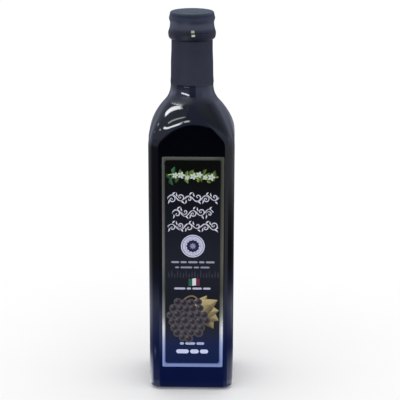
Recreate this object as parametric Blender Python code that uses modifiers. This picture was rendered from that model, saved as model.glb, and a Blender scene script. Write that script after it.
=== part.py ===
"""Square vinegar bottle of dark glass, with a screw cap, a sleeve shrunk on its neck and a front label.

Metres, +Z up. The origin is the middle of the base, and the label faces -Y.
"""

import math

import bmesh
import bpy

# Glass body: a square with round corners
BODY_SIDE = 0.0589
CORNER_RADIUS = 0.0080
HEEL_RADIUS = 0.0042
HEEL_STEPS = 4
BODY_BANDS = 4

# Underside: a flat ring to stand on, round a shallow push-up
RING_WIDTH = 0.0042
PUSH_UP_DEPTH = 0.0026
PUSH_UP_ROUNDNESS = 0.45
PUSH_UP_STEPS = 4

# Shoulder: a tight arc where the body ends, a long arc, and a fillet into the neck
SHOULDER_START = 0.1814
BREAK_RADIUS = 0.0118
BREAK_TILT = math.radians(11.3)
BREAK_STEPS = 2
SHOULDER_RADIUS = 0.0419
SHOULDER_STEPS = 9
NECK_FILLET = 0.0160
FILLET_STEPS = 6
NECK_RADIUS = 0.01464

# Where the square section starts to grow round, and where it is a circle
ROUND_FROM = 0.1762
ROUND_BY = 0.2075

# Roundness at which the section's round corners have melted into its sides
SOFT_BY = 0.10

# Steps round one quarter of the glass
FLAT_STEPS = 5
CORNER_STEPS = 9

# Space left between neighbouring pieces, and the steps round a turned piece
GAP = 0.0003
TURNED_STEPS = 60

# Sleeve shrunk on the neck
SLEEVE_BOTTOM = 0.2157
SLEEVE_WALL = 0.0004
SLEEVE_HEM_RADIUS = 0.01480
SLEEVE_WAIST = (0.2210, 0.01458)
SLEEVE_MIDDLE = (0.2312, 0.01446)
SLEEVE_TOP_RADIUS = 0.01407

# Neck finish inside the cap
FINISH_LIP = 0.0008

# Screw cap, with its tamper band at the foot
CAP_TOP = 0.2650
CAP_BOTTOM = 0.2467
CAP_BORE = 0.0134
CAP_ROOF = 0.0018
CAP_RIM_RADIUS = 0.0141
CAP_EDGE = (0.01498, 0.2642)
CAP_BEAD = (0.01568, 0.2607)
CAP_GROOVE = (0.01495, 0.2571)
CAP_SKIRT = (0.01550, 0.2534)
BAND_EDGE = (0.01628, 0.2509)
BAND_FOOT = (0.01604, 0.2482)
BAND_LIP_RADIUS = 0.0149
CAP_CURVE_STEPS = 4

# Front label
LABEL_WIDTH = 0.0424
LABEL_OFFSET = 0.0012
LABEL_BOTTOM = 0.0178
LABEL_TOP = 0.1711
LABEL_THICKNESS = 0.0003
LABEL_CORNER = 0.0009
LABEL_CORNER_STEPS = 4

# Linear base colour and roughness of each piece
GLASS_FINISH = ((0.006, 0.008, 0.014, 1.0), 0.06)
CAP_FINISH = ((0.030, 0.034, 0.046, 1.0), 0.45)
SLEEVE_FINISH = ((0.022, 0.025, 0.036, 1.0), 0.50)
LABEL_FINISH = ((0.014, 0.018, 0.045, 1.0), 0.35)

HALF_SIDE = BODY_SIDE / 2
QUARTER = math.pi / 2
SHARP_ANGLE = math.radians(40)
TURNED_MERGE = 0.00005
LABEL_MERGE = 0.00002


def clear_scene():
    """Remove what the file starts with."""
    for leftover in list(bpy.data.objects):
        bpy.data.objects.remove(leftover)


def make_material(name, finish):
    """Return a Principled material of one colour and roughness."""
    colour, roughness = finish
    material = bpy.data.materials.new(name)
    material.use_nodes = True
    surface = material.node_tree.nodes["Principled BSDF"]
    surface.inputs["Base Color"].default_value = colour
    surface.inputs["Roughness"].default_value = roughness
    material.diffuse_color = colour
    return material


def add_object(name, data, collection, material):
    """Put a mesh or a curve in the collection under its node's name."""
    piece = bpy.data.objects.new(name, data)
    data.materials.append(material)
    collection.objects.link(piece)
    return piece


def ease(value, start, end):
    """Return 0 before start and 1 after end, with a smooth step between them."""
    share = min(max((value - start) / (end - start), 0.0), 1.0)
    return share * share * (3 - 2 * share)


def section_radius(angle, half_width, corner):
    """Return the distance from the axis to the edge of a square with round corners."""
    folded = abs((angle + QUARTER / 2) % QUARTER - QUARTER / 2)
    centre = half_width - corner
    if folded <= math.atan2(centre, half_width):
        return half_width / math.cos(folded)
    along = centre * (math.cos(folded) + math.sin(folded))
    across = centre * (math.cos(folded) - math.sin(folded))
    return along + math.sqrt(corner**2 - across**2)


def quarter_angles(half_width, corner):
    """Return the polar angles of one face and one corner, each divided evenly."""
    centre = half_width - corner
    angles = []
    for step in range(FLAT_STEPS):
        along = centre * (2 * step / FLAT_STEPS - 1)
        angles.append(math.atan2(along, half_width))
    for step in range(CORNER_STEPS):
        turn = QUARTER * step / CORNER_STEPS
        angles.append(math.atan2(centre + corner * math.sin(turn), centre + corner * math.cos(turn)))
    return angles


def soft_radius(angle, half_width, diagonal):
    """Return the distance from the axis to a superellipse with that half width and that half diagonal."""
    power = 1 / (0.5 - math.log2(diagonal / half_width))
    reach = abs(math.cos(angle)) ** power + abs(math.sin(angle)) ** power
    return half_width / reach ** (1 / power)


def ring_points(half_width, roundness, corner):
    """Return one closed section of the glass: the square at roundness 0, a circle at roundness 1.

    In between, each point lies at that share of the way from the square to the circle, and the corners
    melt into the sides, as on the superellipse of the same diagonal.
    """
    diagonal = math.sqrt(2) * (half_width - corner) + corner
    diagonal += (half_width - diagonal) * roundness
    soft_share = ease(roundness, 0.0, SOFT_BY)
    square = quarter_angles(half_width, corner)
    count = len(square)
    points = []
    for quarter in range(4):
        for step, angle in enumerate(square):
            even = QUARTER * step / count - QUARTER * FLAT_STEPS / (2 * count)
            turned = quarter * QUARTER + angle + (even - angle) * roundness
            reach = section_radius(turned, half_width, corner)
            reach += (half_width - reach) * roundness
            reach += (soft_radius(turned, half_width, diagonal) - reach) * soft_share
            points.append((reach * math.cos(turned), reach * math.sin(turned)))
    return points


def shoulder_levels():
    """Return (height, half width) up the shoulder, which is three arcs end to end.

    An arc starts at the tilt from upright where the one below it ends. The long arc ends at the tilt from
    which the fillet, hollow outwards, comes upright at the neck's radius.
    """
    across = HALF_SIDE - BREAK_RADIUS * (1 - math.cos(BREAK_TILT)) - NECK_RADIUS
    turned = SHOULDER_RADIUS * math.cos(BREAK_TILT) + NECK_FILLET - across
    steepest = math.acos(turned / (SHOULDER_RADIUS + NECK_FILLET))
    arcs = [
        (BREAK_RADIUS, 0.0, BREAK_TILT, BREAK_STEPS),
        (SHOULDER_RADIUS, BREAK_TILT, steepest, SHOULDER_STEPS),
        (-NECK_FILLET, steepest, 0.0, FILLET_STEPS),
    ]
    levels = [(SHOULDER_START, HALF_SIDE)]
    for radius, start, end, steps in arcs:
        height, half_width = levels[-1]
        for step in range(1, steps + 1):
            tilt = start + (end - start) * step / steps
            rise = radius * (math.sin(tilt) - math.sin(start))
            inset = radius * (math.cos(start) - math.cos(tilt))
            levels.append((height + rise, half_width - inset))
    return levels


def sleeve_radii():
    """Return (height, outer radius) of the sleeve, from its hem up to the cap."""
    return [
        (SLEEVE_BOTTOM, SLEEVE_HEM_RADIUS),
        SLEEVE_WAIST,
        SLEEVE_MIDDLE,
        (CAP_BOTTOM - GAP, SLEEVE_TOP_RADIUS),
    ]


def neck_levels():
    """Return (height, radius) of the glass inside the sleeve and the cap, which both stay clear of it."""
    inside = SLEEVE_WALL + GAP
    hem = SLEEVE_BOTTOM - GAP
    levels = [(hem, NECK_RADIUS), (hem, SLEEVE_HEM_RADIUS - inside)]
    levels += [(height, radius - inside) for height, radius in sleeve_radii()[1:]]
    finish = CAP_BORE - GAP
    top = CAP_TOP - CAP_ROOF - GAP
    return levels + [(CAP_BOTTOM - GAP, finish), (top - FINISH_LIP, finish), (top, finish - FINISH_LIP)]


def glass_levels():
    """Return (height, half width, roundness, corner radius) of each section, from the ring upwards."""
    levels = []
    for step in range(HEEL_STEPS + 1):
        turn = QUARTER * step / HEEL_STEPS
        inset = HEEL_RADIUS * (1 - math.sin(turn))
        levels.append((HEEL_RADIUS * (1 - math.cos(turn)), HALF_SIDE - inset, 0.0, CORNER_RADIUS - inset))
    for band in range(1, BODY_BANDS):
        height = HEEL_RADIUS + (ROUND_FROM - HEEL_RADIUS) * band / BODY_BANDS
        levels.append((height, HALF_SIDE, 0.0, CORNER_RADIUS))
    sides = [(ROUND_FROM, HALF_SIDE), ((ROUND_FROM + SHOULDER_START) / 2, HALF_SIDE)] + shoulder_levels()
    for height, half_width in sides:
        levels.append((height, half_width, ease(height, ROUND_FROM, ROUND_BY), CORNER_RADIUS))
    for height, radius in neck_levels():
        levels.append((height, radius, 1.0, CORNER_RADIUS))
    return levels


def push_up_levels():
    """Return (height, half width, roundness, corner radius) of the underside, from its middle out to the ring."""
    ring_inner = HALF_SIDE - HEEL_RADIUS - RING_WIDTH
    corner = CORNER_RADIUS - HEEL_RADIUS
    levels = []
    for step in range(1, PUSH_UP_STEPS + 1):
        share = step / PUSH_UP_STEPS
        levels.append((PUSH_UP_DEPTH * (1 - share**2), ring_inner * share, PUSH_UP_ROUNDNESS, corner * share))
    return levels


def build_glass(collection, material):
    """Loft the bottle through its sections, shut at the middle of the base and at the top of the neck."""
    work = bmesh.new()
    rings = []
    for height, half_width, roundness, corner in push_up_levels() + glass_levels():
        points = ring_points(half_width, roundness, corner)
        rings.append([work.verts.new((x, y, height)) for x, y in points])
    count = len(rings[0])
    for lower, upper in zip(rings, rings[1:]):
        for i in range(count):
            j = (i + 1) % count
            work.faces.new((lower[i], lower[j], upper[j], upper[i]))
    middle = work.verts.new((0, 0, PUSH_UP_DEPTH))
    for i in range(count):
        work.faces.new((middle, rings[0][(i + 1) % count], rings[0][i]))
    work.faces.new(rings[-1])
    mesh = bpy.data.meshes.new("glass_bottle")
    bmesh.ops.recalc_face_normals(work, faces=work.faces)
    work.to_mesh(mesh)
    work.free()
    mesh.shade_smooth()
    mesh.set_sharp_from_angle(angle=SHARP_ANGLE)
    return add_object("glass_bottle", mesh, collection, material)


def smooth_through(stations, steps):
    """Return points on the Catmull-Rom curve through the stations, with that many steps between two."""
    points = []
    last = len(stations) - 1
    for i in range(last):
        before, start = stations[max(i - 1, 0)], stations[i]
        end, after = stations[i + 1], stations[min(i + 2, last)]
        for step in range(steps):
            t = step / steps
            points.append(
                tuple(
                    b + 0.5 * t * (c - a + t * (2 * a - 5 * b + 4 * c - d + t * (3 * (b - c) + d - a)))
                    for a, b, c, d in zip(before, start, end, after)
                )
            )
    return points + [stations[last]]


def turn_profile(name, profile, collection, material):
    """Turn a profile of (radius, height) points about Z, outer side downwards, into a closed piece."""
    mesh = bpy.data.meshes.new(name)
    edges = [(i, i + 1) for i in range(len(profile) - 1)]
    if profile[0][0] > 0:
        edges.append((len(profile) - 1, 0))
    mesh.from_pydata([(radius, 0, height) for radius, height in profile], edges, [])
    piece = add_object(name, mesh, collection, material)
    screw = piece.modifiers.new("turn", "SCREW")
    screw.axis = "Z"
    screw.angle = 2 * math.pi
    screw.steps = TURNED_STEPS
    screw.render_steps = TURNED_STEPS
    screw.use_merge_vertices = True
    screw.merge_threshold = TURNED_MERGE
    screw.use_smooth_shade = True
    return piece


def build_cap(collection, material):
    """Turn the cap: a flat top, a bead, a groove, a flared skirt and the tamper band, over an open bore."""
    outer = smooth_through(
        [
            (CAP_RIM_RADIUS, CAP_TOP),
            CAP_EDGE,
            CAP_BEAD,
            CAP_GROOVE,
            CAP_SKIRT,
            BAND_EDGE,
            BAND_FOOT,
            (BAND_LIP_RADIUS, CAP_BOTTOM),
        ],
        CAP_CURVE_STEPS,
    )
    roof = CAP_TOP - CAP_ROOF
    inner = [(CAP_BORE, CAP_BOTTOM), (CAP_BORE, roof), (0, roof)]
    return turn_profile("screw_cap", [(0, CAP_TOP)] + outer + inner, collection, material)


def build_sleeve(collection, material):
    """Turn the thin sleeve that covers the neck from under the cap to just above the shoulder."""
    down = [(radius, height) for height, radius in reversed(sleeve_radii())]
    up = [(radius - SLEEVE_WALL, height) for height, radius in sleeve_radii()]
    return turn_profile("neck_sleeve", down + up, collection, material)


def label_outline():
    """Return the label's outline in its own plane, centred, with small round corners."""
    half_width = LABEL_WIDTH / 2 - LABEL_CORNER
    half_height = (LABEL_TOP - LABEL_BOTTOM) / 2 - LABEL_CORNER
    points = []
    for corner, (side, end) in enumerate([(1, 1), (-1, 1), (-1, -1), (1, -1)]):
        for step in range(LABEL_CORNER_STEPS + 1):
            turn = QUARTER * (corner + step / LABEL_CORNER_STEPS)
            x = side * half_width + LABEL_CORNER * math.cos(turn)
            y = end * half_height + LABEL_CORNER * math.sin(turn)
            points.append((x, y, 0, 1))
    return points


def build_label(collection, material):
    """Cut the label as a filled outline with a thickness, upright in front of the front face."""
    curve = bpy.data.curves.new("front_label", "CURVE")
    curve.dimensions = "2D"
    curve.fill_mode = "BOTH"
    curve.extrude = LABEL_THICKNESS / 2
    outline = label_outline()
    spline = curve.splines.new("POLY")
    spline.points.add(len(outline) - 1)
    for point, place in zip(spline.points, outline):
        point.co = place
    spline.use_cyclic_u = True
    piece = add_object("front_label", curve, collection, material)
    piece.rotation_euler = (QUARTER, 0, 0)
    piece.location = (LABEL_OFFSET, -(HALF_SIDE + GAP + LABEL_THICKNESS / 2), (LABEL_TOP + LABEL_BOTTOM) / 2)
    weld = piece.modifiers.new("weld", "WELD")
    weld.merge_threshold = LABEL_MERGE
    return piece


def main():
    """Build the bottle from its glass outwards."""
    clear_scene()
    collection = bpy.data.collections.new("vinegar_bottle")
    bpy.context.scene.collection.children.link(collection)
    build_glass(collection, make_material("dark_glass", GLASS_FINISH))
    build_cap(collection, make_material("black_cap", CAP_FINISH))
    build_sleeve(collection, make_material("black_sleeve", SLEEVE_FINISH))
    build_label(collection, make_material("dark_label", LABEL_FINISH))


main()
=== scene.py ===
"""Looks of a square vinegar bottle: dark glass, black screw cap, neck sleeve and printed front label.

Metres, +Z up, label towards -Y. Every piece is a surface worked out on a grid with numpy.
"""

import logging
import math
from collections.abc import Callable
from dataclasses import dataclass, field
from enum import Enum

import bpy
import numpy as np
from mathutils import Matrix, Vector


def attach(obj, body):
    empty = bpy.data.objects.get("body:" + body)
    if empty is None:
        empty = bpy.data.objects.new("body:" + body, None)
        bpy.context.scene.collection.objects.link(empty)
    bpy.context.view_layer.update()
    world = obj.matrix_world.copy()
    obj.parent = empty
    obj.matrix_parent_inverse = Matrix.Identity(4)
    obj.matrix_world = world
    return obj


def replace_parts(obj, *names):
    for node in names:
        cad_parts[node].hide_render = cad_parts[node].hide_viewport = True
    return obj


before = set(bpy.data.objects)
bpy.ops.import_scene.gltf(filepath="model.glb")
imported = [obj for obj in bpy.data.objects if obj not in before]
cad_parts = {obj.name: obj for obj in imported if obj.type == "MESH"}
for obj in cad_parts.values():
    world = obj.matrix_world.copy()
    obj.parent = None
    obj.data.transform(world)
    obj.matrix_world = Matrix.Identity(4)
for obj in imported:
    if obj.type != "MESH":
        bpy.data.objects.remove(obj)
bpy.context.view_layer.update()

log = logging.getLogger("vinegar_bottle")

MM = 0.001
QUARTER = math.pi / 2
FULL = 2 * math.pi
BODY = "root"
POINT_COLOUR = "ink"

Colour = tuple[float, float, float]
Place = tuple[float, float, float]
Spot = tuple[float, float]
Stops = list[tuple[float, float]]
Numbers = float | np.ndarray
Ink = Colour | np.ndarray
Socket = bpy.types.NodeSocket
Input = float | Colour | Socket
Groups = dict[str, bpy.types.NodeTree]
Tint = Callable[[np.ndarray, np.ndarray], np.ndarray]


class Slot(Enum):
    """Material slots of the record, by name."""

    GLASS = "dark_glass"
    CAP = "black_cap"
    SLEEVE = "black_sleeve"
    LABEL = "printed_label"


def srgb(red: float, green: float, blue: float) -> Colour:
    """Return the linear colour of a display colour whose channels go from 0 to 255."""
    shares = [channel / 255 for channel in (red, green, blue)]
    return tuple(s / 12.92 if s <= 0.04045 else ((s + 0.055) / 1.055) ** 2.4 for s in shares)


def smooth_step(value: np.ndarray, start: float, end: float) -> np.ndarray:
    """Return 0 before start and 1 after end, with the curve 3t^2 - 2t^3 between them."""
    share = np.clip((np.asarray(value, float) - start) / (end - start), 0, 1)
    return share * share * (3 - 2 * share)


def bump(value: np.ndarray, centre: float, width: float) -> np.ndarray:
    """Return the bell curve exp(-((value - centre) / width)^2)."""
    return np.exp(-(((value - centre) / width) ** 2))


def blend(first: Numbers | Colour, second: Numbers | Colour, share: Numbers) -> np.ndarray:
    """Return the value at a share of the way from first to second."""
    return np.asarray(first) + (np.asarray(second) - np.asarray(first)) * share


def plain(colour: Colour) -> Tint:
    """Return a tint that is one colour everywhere."""
    return lambda across, up: np.array(colour) + 0 * across[..., None]


def spot_at(centre: Spot, radius: float, angle: float) -> Spot:
    """Return the spot at a distance from a centre, in the direction of an angle."""
    return centre[0] + radius * math.cos(angle), centre[1] + radius * math.sin(angle)


def around_axis(radius: Numbers, angle: Numbers, height: Numbers) -> np.ndarray:
    """Return the points at distances from the axis, at angles about it and at heights."""
    return np.stack(np.broadcast_arrays(radius * np.cos(angle), radius * np.sin(angle), height), -1)


def even_points(line: np.ndarray, count: int, closed: bool = False) -> np.ndarray:
    """Return points at even steps of a line's length, read by straight interpolation.

    Args:
        line: The line's corners.
        count: Number of points.
        closed: Whether the line runs on from its last corner to its first.

    Returns:
        An array of points.
    """
    if closed:
        line = np.concatenate([line, line[:1]])
    length = np.concatenate([[0], np.cumsum(np.hypot(*np.diff(line, axis=0).T))])
    at = np.linspace(0, length[-1], count, endpoint=not closed)
    return np.stack([np.interp(at, length, line[:, k]) for k in range(2)], -1)


def grid_faces(rows: int, columns: int, wrap_rows: bool = False, wrap_columns: bool = False) -> np.ndarray:
    """Return the quads of a grid whose points are numbered row by row.

    Args:
        rows: Number of rows.
        columns: Number of columns.
        wrap_rows: Whether the last row joins the first.
        wrap_columns: Whether the last column joins the first.

    Returns:
        An array of four point numbers a quad.
    """
    row = np.arange(rows if wrap_rows else rows - 1)[:, None]
    column = np.arange(columns if wrap_columns else columns - 1)[None, :]
    next_row, next_column = (row + 1) % rows, (column + 1) % columns
    corners = [(row, column), (row, next_column), (next_row, next_column), (next_row, column)]
    return np.stack([r * columns + c for r, c in corners], -1).reshape(-1, 4)


def paint(mesh: bpy.types.Mesh, colours: np.ndarray) -> None:
    """Put a colour on each point of a mesh, for ink_colour to read."""
    rows = np.column_stack([colours, np.ones(len(colours))]).astype(np.float32)
    mesh.attributes.new(POINT_COLOUR, "FLOAT_COLOR", "POINT").data.foreach_set("color", rows.ravel())


def put_in_scene(name: str, data: bpy.types.ID) -> bpy.types.Object:
    """Return a new object of the scene, with the given mesh or camera.

    Args:
        name: The object's name.
        data: What it shows.

    Returns:
        The object.
    """
    thing = bpy.data.objects.new(name, data)
    bpy.context.scene.collection.objects.link(thing)
    return thing


class Shell:
    """Collects closed surfaces and makes one object of them, with a colour on each point."""

    def __init__(self) -> None:
        """Start with no surface."""
        self.points: list[np.ndarray] = []
        self.faces: list[list[int]] = []
        self.colours: list[np.ndarray] = []
        self.count = 0

    def add(self, points: np.ndarray, faces: list[list[int]], colours: Ink) -> None:
        """Add a closed surface, turned so that its faces point outwards.

        The signed volume is the sum over the faces, fanned into triangles, of a . (b x c) / 6. Where it is
        negative the faces are reversed.

        Args:
            points: Array of points.
            faces: Point numbers of each face.
            colours: One colour, or one for each point.
        """
        corners = np.array([f if len(f) == 4 else [*f, f[0]] for f in faces])
        a, b, c, d = (points[corners[:, k]] for k in range(4))
        volume = np.einsum("ij,ij->", a, np.cross(b, c)) + np.einsum("ij,ij->", a, np.cross(c, d))
        if volume < 0:
            faces = [face[::-1] for face in faces]
        self.faces += [[n + self.count for n in face] for face in faces]
        self.points.append(points)
        self.colours.append(np.broadcast_to(np.asarray(colours, float), points.shape))
        self.count += len(points)

    def add_turned(self, rows: np.ndarray) -> None:
        """Add rings of points, one above the other, shut by a fan at either end.

        Args:
            rows: Array of rings, each an array of points.
        """
        count, around = rows.shape[:2]
        edge = np.arange(around)
        following = (edge + 1) % around
        top = (count - 1) * around
        faces = grid_faces(count, around, wrap_columns=True).tolist()
        faces += np.stack([following, edge, np.full(around, count * around)], -1).tolist()
        faces += np.stack([top + edge, top + following, np.full(around, count * around + 1)], -1).tolist()
        points = np.concatenate([rows.reshape(-1, 3), [rows[0].mean(0), rows[-1].mean(0)]])
        self.add(points, faces, (1, 1, 1))

    def add_tube(self, rows: np.ndarray) -> None:
        """Add rings of points of which the last joins the first, as round a thin wall."""
        faces = grid_faces(rows.shape[0], rows.shape[1], wrap_rows=True, wrap_columns=True)
        self.add(rows.reshape(-1, 3), faces.tolist(), (1, 1, 1))

    def add_slab(self, front: np.ndarray, back: np.ndarray, colours: Ink, around: bool = False) -> None:
        """Add a thin slab between two grids of points of one shape.

        Args:
            front: Grid of the side that shows.
            back: Grid of the side behind it.
            colours: One colour, or a grid of them.
            around: Whether the last row joins the first, as in a frame.
        """
        rows, columns = front.shape[:2]
        size = rows * columns
        sheet = grid_faces(rows, columns, wrap_rows=around)
        number = np.arange(size).reshape(rows, columns)
        if around:
            edges = [np.append(number[:, 0], number[0, 0])[::-1], np.append(number[:, -1], number[0, -1])]
        else:
            edges = [np.concatenate([number[0, :-1], number[:-1, -1], number[-1, :0:-1], number[::-1, 0]])]
        rims = [np.stack([e[1:], e[:-1], e[:-1] + size, e[1:] + size], -1) for e in edges]
        faces = np.concatenate([sheet, sheet[:, ::-1] + size, *rims]).tolist()
        if not isinstance(colours, tuple):
            colours = np.concatenate([np.asarray(colours).reshape(-1, 3)] * 2)
        self.add(np.concatenate([front.reshape(-1, 3), back.reshape(-1, 3)]), faces, colours)

    def build(
        self, name: str, material: bpy.types.Material, slot: Slot, sharp: float = 35
    ) -> bpy.types.Object:
        """Make the object, with its place in its mesh, and let it ride on the bottle's body.

        Args:
            name: The piece's name.
            material: Its material.
            slot: Not used.
            sharp: Angle in degrees above which an edge is crisp.

        Returns:
            The new object.
        """
        mesh = bpy.data.meshes.new(name)
        mesh.from_pydata(np.concatenate(self.points).tolist(), [], self.faces)
        paint(mesh, np.concatenate(self.colours))
        mesh.materials.append(material)
        mesh.shade_smooth()
        mesh.set_sharp_from_angle(angle=math.radians(sharp))
        mesh.validate()
        piece = put_in_scene(name, mesh)
        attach(piece, BODY)
        log.info("%s: %d faces", name, len(mesh.polygons))
        return piece


@dataclass
class NodeWriter:
    """Places and links nodes in one tree."""

    tree: bpy.types.NodeTree

    def fill(self, node: bpy.types.Node, **sockets: Input) -> None:
        """Set or link a node's inputs.

        Args:
            node: The node.
            sockets: Inputs by name, with an underscore for a space, or by number as i0, i1 and so on.
        """
        for key, value in sockets.items():
            numbered = key[0] == "i" and key[1:].isdigit()
            socket = node.inputs[int(key[1:]) if numbered else key.replace("_", " ")]
            if isinstance(value, Socket):
                self.tree.links.new(value, socket)
            elif isinstance(value, tuple):
                socket.default_value = (*value, 1.0)
            else:
                socket.default_value = value

    def add(self, kind: str, settings: dict | None = None, **sockets: Input) -> bpy.types.Node:
        """Add a node, set its properties, and set or link its inputs.

        Args:
            kind: Blender's name of the node type.
            settings: Properties of the node by name.
            sockets: Inputs, as fill takes them.

        Returns:
            The new node.
        """
        node = self.tree.nodes.new(kind)
        for key, value in (settings or {}).items():
            setattr(node, key, value)
        self.fill(node, **sockets)
        return node

    def math(self, operation: str, *values: Input) -> Socket:
        """Return the result of a Math node on the given values or sockets."""
        inputs = {f"i{n}": value for n, value in enumerate(values)}
        return self.add("ShaderNodeMath", {"operation": operation}, **inputs).outputs[0]

    def ranged(self, value: Socket, low: float, high: float, start: float = 0, end: float = 1) -> Socket:
        """Return a value carried smoothly from one range to another.

        Args:
            value: The value.
            low: Start of its own range.
            high: End of its own range.
            start: What low becomes.
            end: What high becomes.

        Returns:
            The carried value, held at start and end beyond the range.
        """
        limits = {"From_Min": low, "From_Max": high, "To_Min": start, "To_Max": end}
        node = self.add("ShaderNodeMapRange", {"interpolation_type": "SMOOTHSTEP"}, Value=value, **limits)
        return node.outputs["Result"]

    def mix(self, share: Input, first: Input, second: Input, way: str = "MIX") -> Socket:
        """Return the colour between first and second at the given share, mixed in the named way."""
        settings = {"data_type": "RGBA", "blend_type": way}
        return self.add("ShaderNodeMix", settings, i0=share, i6=first, i7=second).outputs[2]

    def ramp(self, value: Socket, stops: list[tuple[float, Colour]]) -> Socket:
        """Return the colour read from a ramp.

        Args:
            value: Where to read it.
            stops: The ramp's positions and colours.

        Returns:
            The colour.
        """
        node = self.add("ShaderNodeValToRGB", Fac=value)
        elements = node.color_ramp.elements
        while len(elements) < len(stops):
            elements.new(0.5)
        for element, (position, colour) in zip(elements, stops):
            element.position = position
            element.color = (*colour, 1.0)
        return node.outputs["Color"]

    def object_place(self) -> Socket:
        """Return the place on the piece, in metres."""
        return self.add("ShaderNodeTexCoord").outputs["Object"]

    def object_height(self) -> Socket:
        """Return the height above the foot, in metres."""
        return self.add("ShaderNodeSeparateXYZ", Vector=self.object_place()).outputs["Z"]

    def noise(self, size: float | Socket, detail: float, roughness: float = 0.5) -> Socket:
        """Return noise of the given scale, detail and roughness over the piece."""
        settings = {"Scale": size, "Detail": detail, "Roughness": roughness}
        return self.add("ShaderNodeTexNoise", Vector=self.object_place(), **settings).outputs["Fac"]


def start_group(name: str, inputs: dict[str, float], outputs: tuple[str, ...]) -> tuple[NodeWriter, dict]:
    """Start a shared node group with float sockets.

    Args:
        name: The group's name.
        inputs: Default values of its inputs by name.
        outputs: Names of its outputs.

    Returns:
        The writer of its nodes, and its inputs' values inside it by name.
    """
    group = bpy.data.node_groups.new(name, "ShaderNodeTree")
    for key, value in inputs.items():
        socket = group.interface.new_socket(key, in_out="INPUT", socket_type="NodeSocketFloat")
        socket.default_value = value
    for key in outputs:
        group.interface.new_socket(key, in_out="OUTPUT", socket_type="NodeSocketFloat")
    w = NodeWriter(group)
    return w, w.add("NodeGroupInput").outputs


def handling_group() -> bpy.types.NodeTree:
    """Return the shared group of handling marks: soft smudges and sparse dust.

    Returns:
        The node group, with the two marks as masks.
    """
    w, given = start_group("handling_marks", {"Smudge size": 60, "Dust size": 900}, ("Smudge", "Dust"))
    smudge = w.ranged(w.noise(given["Smudge size"], 4, 0.6), 0.42, 0.72)
    dust = w.ranged(w.noise(given["Dust size"], 2), 0.66, 0.78)
    w.add("NodeGroupOutput", Smudge=smudge, Dust=dust)
    return w.tree


def relief_group() -> bpy.types.NodeTree:
    """Return the shared group of surface relief: fine grain over slow waves.

    Returns:
        The node group. Its height is grain * (1 - share) + wave * share.
    """
    inputs = {"Grain size": 2500, "Wave size": 40, "Wave share": 0.5}
    w, given = start_group("surface_relief", inputs, ("Height",))
    share = given["Wave share"]
    fine = w.math("MULTIPLY", w.noise(given["Grain size"], 2), w.math("SUBTRACT", 1.0, share))
    slow = w.math("MULTIPLY", w.noise(given["Wave size"], 1), share)
    w.add("NodeGroupOutput", Height=w.math("ADD", fine, slow))
    return w.tree


@dataclass(frozen=True)
class Finish:
    """A finish built on one Principled shader with the two shared groups.

    A dull band lies round the height dull_height where dull_share isn't 0: it adds that much roughness
    over 0.4 of dull_reach to either side and fades out at dull_reach.
    """

    name: str
    roughness: float
    metallic: float = 0.0
    coat: float = 0.0
    coat_roughness: float = 0.1
    specular: float = 0.5
    smudge_size: float = 60
    smudge_roughness: float = 0.05
    dust_size: float = 900
    dust_colour: Colour = (0.2, 0.2, 0.22)
    dust_share: float = 0.05
    grain_size: float = 2500
    wave_size: float = 40
    wave_share: float = 0.5
    relief: float = 0.02
    relief_depth: float = 0.0002
    dull_height: float = 0.0
    dull_reach: float = 0.01
    dull_share: float = 0.0

    def make(self, groups: Groups, base: Callable[[NodeWriter], Socket]) -> bpy.types.Material:
        """Make the material.

        Args:
            groups: The shared node groups by name.
            base: Makes the base colour's nodes and returns their socket.

        Returns:
            The material.
        """
        material = bpy.data.materials.new(self.name)
        material.use_nodes = True
        w = NodeWriter(material.node_tree)
        sizes = {"Smudge_size": self.smudge_size, "Dust_size": self.dust_size}
        marks = w.add("ShaderNodeGroup", {"node_tree": groups["marks"]}, **sizes)
        sizes = {"Grain_size": self.grain_size, "Wave_size": self.wave_size, "Wave_share": self.wave_share}
        relief = w.add("ShaderNodeGroup", {"node_tree": groups["relief"]}, **sizes)
        dust = w.math("MULTIPLY", marks.outputs["Dust"], self.dust_share)
        rough = w.math("MULTIPLY_ADD", marks.outputs["Smudge"], self.smudge_roughness, self.roughness)
        if self.dull_share:
            near = w.math("ABSOLUTE", w.math("SUBTRACT", w.object_height(), self.dull_height))
            dull = w.ranged(near, self.dull_reach, 0.4 * self.dull_reach, 0.0, self.dull_share)
            rough = w.math("ADD", rough, dull)
        height = relief.outputs["Height"]
        uneven = w.add("ShaderNodeBump", Strength=self.relief, Distance=self.relief_depth, Height=height)
        w.fill(
            material.node_tree.nodes["Principled BSDF"],
            Base_Color=w.mix(dust, base(w), self.dust_colour),
            Roughness=rough,
            Normal=uneven.outputs["Normal"],
            Metallic=self.metallic,
            Coat_Weight=self.coat,
            Coat_Roughness=self.coat_roughness,
            Specular_IOR_Level=self.specular,
        )
        return material


def glass_colour_with_painted_light(w: NodeWriter) -> Socket:
    """Return the glass colour: near black, with painted light: a deep blue painted reflection at the foot,
    a greyer painted sheen at the neck's foot, and an olive rim where it is seen edge on, painted light
    coming through the glass.

    Args:
        w: Writer of the material's nodes.

    Returns:
        The colour.
    """
    # Painted light by height: deep blue painted reflection towards the foot, near black above, a greyer
    # painted sheen at the neck's foot.
    stops = [
        (0.0, (0.0016, 0.0056, 0.0440)),
        (0.185, (0.0014, 0.0050, 0.0380)),
        (0.27, (0.0012, 0.0030, 0.0160)),
        (0.363, (0.0008, 0.0010, 0.0030)),
        (0.765, (0.0004, 0.0004, 0.0022)),
        (0.80, (0.0130, 0.0155, 0.0310)),
    ]
    body = w.ramp(w.math("DIVIDE", w.object_height(), 0.265), stops)
    # Painted light: olive mixed in where the glass is seen edge on stands in for light coming through it.
    edge = w.add("ShaderNodeLayerWeight", Blend=0.35).outputs["Facing"]
    return w.mix(w.ranged(edge, 0.72, 1.0), body, (0.045, 0.050, 0.034))


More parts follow.
